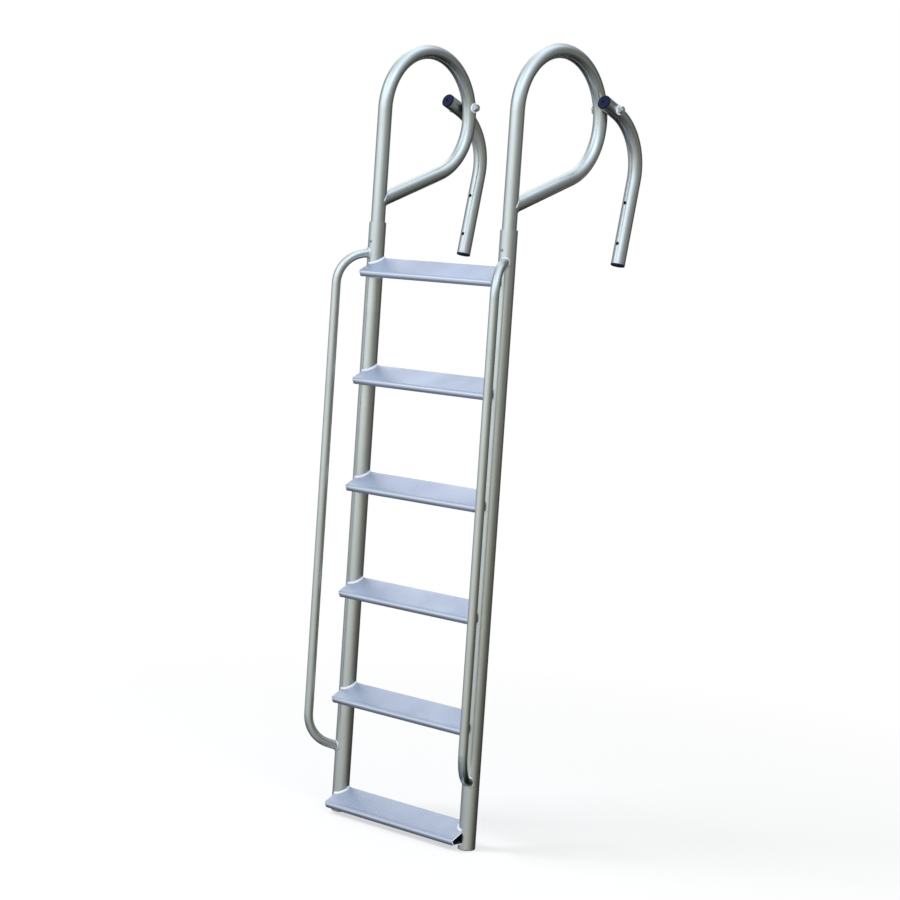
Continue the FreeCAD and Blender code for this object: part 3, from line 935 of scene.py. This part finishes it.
@dataclass(frozen=True)
class Dome:
    """The studio as the metal mirrors it: walls round the horizon and cards before them.

    Attributes:
        middle: the dome's middle.
        radius: how far off it stands.
        step: the angle between its rings and between its columns, in degrees.
        dim: the light of a wall that nothing lights.
        upright: how much of the walls' light shows at each height over the horizon.
        walls: the lit stretches of wall.
        cards: the cards, from the lowest row to the highest.
    """

    middle: Tuple[float, float, float] = (0.3, -0.2, -0.6)
    radius: float = 9.0
    step: int = 6
    dim: float = 0.04
    upright: Stops = (
        (-90, (0.02,)), (-40, (0.04,)), (-25, (0.15,)), (-13, (0.62,)), (-5, (0.74,)), (5, (0.7,)),
        (20, (0.4,)), (40, (0.2,)), (90, (0.25,)),
    )
    walls: Tuple[Wall, ...] = (
        Wall(180, 45, 0.35, Tint.PALE), Wall(270, 35, 0.75, Tint.DAY), Wall(325, 25, 0.3, Tint.WARM),
    )
    cards: Tuple[Card, ...] = (
        Card(240, -60, 15, 0.3, Tint.COOL),
        Card(300, -45, 15, 0.4, Tint.COOL), Card(0, -45, 15, 0.2, Tint.COOL),
        Card(200, -20, 15, 0.15, Tint.COOL), Card(240, -20, 15, 0.25, Tint.COOL),
        Card(280, -20, 15, 0.2, Tint.PALE), Card(320, -20, 15, 0.25, Tint.DAY),
        Card(355, -20, 15, 0.2, Tint.WARM),
        Card(45, 0, 15, 0.15, Tint.WARM), Card(215, 5, 15, 0.25, Tint.PALE),
        Card(235, 20, 15, 0.5, Tint.COOL), Card(260, 20, 15, 0.7, Tint.COOL),
        Card(290, 25, 15, 1.0, Tint.COOL), Card(25, 25, 15, 0.25, Tint.PALE),
        Card(150, 40, 15, 1.6, Tint.DAY), Card(240, 45, 15, 1.3, Tint.COOL),
        Card(315, 45, 15, 1.0, Tint.COOL), Card(345, 50, 20, 1.0, Tint.COOL),
        Card(75, 60, 15, 0.6, Tint.COOL), Card(200, 75, 20, 0.2, Tint.COOL),
        Card(90, 80, 20, 1.1, Tint.COOL),
    )

    def tone(self, angle: float, height: float) -> Colour:
        """How bright the dome is in one direction.

        Args:
            angle: the angle round the set in degrees, from +X towards +Y.
            height: the angle over the horizon in degrees.

        Returns:
            The colour that the dome sends out.
        """
        share = between(self.upright, height)[0]
        lights = [(wall.glow(angle) * share, wall.tint.value) for wall in self.walls]
        lights += [(card.glow(angle, height), card.tint.value) for card in self.cards]
        return tuple(self.dim * share + sum(light * tint[part] for light, tint in lights)
                     for part in range(3))

    def material(self) -> bpy.types.Material:
        """A material that sends out the tones kept in the mesh."""
        material = bpy.data.materials.new("reflection_dome")
        material.use_nodes = True
        material.node_tree.nodes.clear()
        tree = NodeTree(material.node_tree)
        shade = tree.add("ShaderNodeAttribute", attribute_name="tone").outputs["Color"]
        glow = tree.add("ShaderNodeEmission", {"Color": shade, "Strength": 1.0})
        tree.add("ShaderNodeOutputMaterial", {"Surface": glow.outputs[0]})
        return material

    def build(self) -> None:
        """Raise the dome, which only reflections see."""
        mesh = bmesh.new()
        layer = mesh.verts.layers.float_color.new("tone")
        columns: List[List[bmesh.types.BMVert]] = []
        for angle in range(0, 360, self.step):
            column = []
            for height in range(self.step - 90, 90, self.step):
                corner = mesh.verts.new(Vector(self.middle) + direction(angle, height) * self.radius)
                corner[layer] = opaque(self.tone(angle, height))
                column.append(corner)
            columns.append(column)
        for before, after in zip(columns, columns[1:] + columns[:1]):
            for row in range(len(before) - 1):
                mesh.faces.new((before[row], after[row], after[row + 1], before[row + 1]))
        data = bpy.data.meshes.new("reflection_dome")
        mesh.to_mesh(data)
        mesh.free()
        data.materials.append(self.material())
        dome = bpy.data.objects.new("reflection_dome", data)
        bpy.context.scene.collection.objects.link(dome)
        dome.visible_camera = False
        dome.visible_diffuse = False
        dome.visible_transmission = False
        dome.visible_shadow = False


@dataclass(frozen=True)
class Floor:
    """The white floor under the rails, which keeps the ladder's shadow.

    Attributes:
        size: the length of its sides.
        tone: how pale it is where lamps light it.
        under: the point under the ladder that the shadow is kept round.
        shadow: how far from that point the shadow starts and ends to fade.
        whiteness: how much of the floor is plain white at that point.
    """

    size: float = 60.0
    tone: float = 0.9
    under: Tuple[float, float] = (0.3, -0.3)
    shadow: Tuple[float, float] = (0.5, 2.6)
    whiteness: float = 0.6

    def material(self) -> bpy.types.Material:
        """A material that is plain white to the camera, apart from the shadow near the rails."""
        material = bpy.data.materials.new("white_floor")
        material.use_nodes = True
        material.node_tree.nodes.clear()
        tree = NodeTree(material.node_tree)
        lit = tree.add("ShaderNodeBsdfDiffuse", {"Color": (self.tone, self.tone, self.tone, 1)})
        white = tree.add("ShaderNodeEmission", {"Color": (1, 1, 1, 1), "Strength": 1.0})
        where = tree.add("ShaderNodeNewGeometry").outputs["Position"]
        away = tree.add("ShaderNodeVectorMath", {0: where, 1: (*self.under, SIZES.floor)},
                        operation="DISTANCE")
        fade = tree.remap(away.outputs["Value"], *self.shadow, self.whiteness, 1.0)
        share = tree.math("MULTIPLY", tree.seen_rays(), fade)
        both = tree.add("ShaderNodeMixShader", {0: share, 1: lit.outputs[0], 2: white.outputs[0]})
        tree.add("ShaderNodeOutputMaterial", {"Surface": both.outputs[0]})
        return material

    def build(self) -> None:
        """Lay the floor."""
        half = self.size / 2
        signs = ((-1, -1), (1, -1), (1, 1), (-1, 1))
        corners = [Vector((x * half, y * half, SIZES.floor)) for x, y in signs]
        data = bpy.data.meshes.new("floor")
        data.from_pydata(corners, [], [(0, 1, 2, 3)])
        data.materials.append(self.material())
        floor = bpy.data.objects.new("floor", data)
        bpy.context.scene.collection.objects.link(floor)
        floor.visible_glossy = False


@dataclass
class Studio:
    """The camera, the lamps, the world, the floor and the dome.

    Attributes:
        camera_place: where the photograph was taken from.
        camera_turn: how the camera was turned, in degrees about X, Y and Z.
        focal_pixels: the focal length in pixels of the picture.
        centre_row: the row of the picture that lies level with the lens.
        picture: the picture's width and height in pixels.
        sensor: the width of the camera's sensor in millimetres.
        sight: how far the camera sees.
        aim: the point that the lamps face.
        lamps: the lamps.
        fill: the tint of the light from all round.
        fill_light: how strong that light is.
    """

    camera_place: Tuple[float, float, float] = (4.5325, -5.0522, 0.0283)
    camera_turn: Tuple[float, float, float] = (86.0868, -3.8701, 42.2471)
    focal_pixels: float = 2266.02
    centre_row: float = 400.0
    picture: float = 900.0
    sensor: float = 36.0
    sight: float = 200.0
    aim: Tuple[float, float, float] = (0.3, -0.3, -0.5)
    lamps: Tuple[Lamp, ...] = (
        Lamp("key_lamp", (-2.6, -4.2, 3.4), 2.6, 330.0, (0.96, 0.98, 1.0)),
        Lamp("fill_lamp", (5.0, -2.5, 1.6), 3.0, 110.0, (1.0, 0.98, 0.9)),
    )
    fill: Colour = (0.93, 0.96, 1.0)
    fill_light: float = 0.55

    def place_camera(self) -> None:
        """Set the camera where the photograph was taken from."""
        camera = bpy.data.cameras.new("photo_camera")
        camera.sensor_width = self.sensor
        camera.lens = self.focal_pixels / self.picture * self.sensor
        camera.shift_y = (self.centre_row - self.picture / 2) / self.picture
        camera.clip_end = self.sight
        holder = bpy.data.objects.new("photo_camera", camera)
        turn = Euler([math.radians(angle) for angle in self.camera_turn], "XYZ").to_matrix().to_4x4()
        holder.matrix_world = Matrix.Translation(self.camera_place) @ turn
        bpy.context.scene.collection.objects.link(holder)
        bpy.context.scene.camera = holder

    def light_world(self) -> None:
        """White for what the camera and reflections see, and a soft fill for the rest."""
        world = bpy.data.worlds.new("studio")
        bpy.context.scene.world = world
        world.use_nodes = True
        world.node_tree.nodes.clear()
        tree = NodeTree(world.node_tree)
        fill = tree.add("ShaderNodeBackground", {"Color": opaque(self.fill), "Strength": self.fill_light})
        white = tree.add("ShaderNodeBackground", {"Color": (1, 1, 1, 1), "Strength": 1.0})
        both = tree.add("ShaderNodeMixShader", {0: tree.seen_rays(), 1: fill.outputs[0], 2: white.outputs[0]})
        tree.add("ShaderNodeOutputWorld", {"Surface": both.outputs[0]})

    def build(self) -> None:
        """Set up the whole studio."""
        bpy.context.scene.view_settings.view_transform = "Standard"
        self.place_camera()
        for lamp in self.lamps:
            lamp.build(Vector(self.aim))
        self.light_world()
        Floor().build()
        Dome().build()


def main() -> None:
    """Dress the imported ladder, add what is welded on and set up the studio."""
    logging.basicConfig(level=logging.INFO, format="%(name)s: %(message)s")
    wardrobe = Wardrobe()
    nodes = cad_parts
    for part in (Rails(), Treads(), HandLoops(), SideHandrails(), DockArms()):
        part.build(nodes, wardrobe)
        log.info("%s done", type(part).__name__)
    Studio().build()


if __name__ == "__main__":
    main()
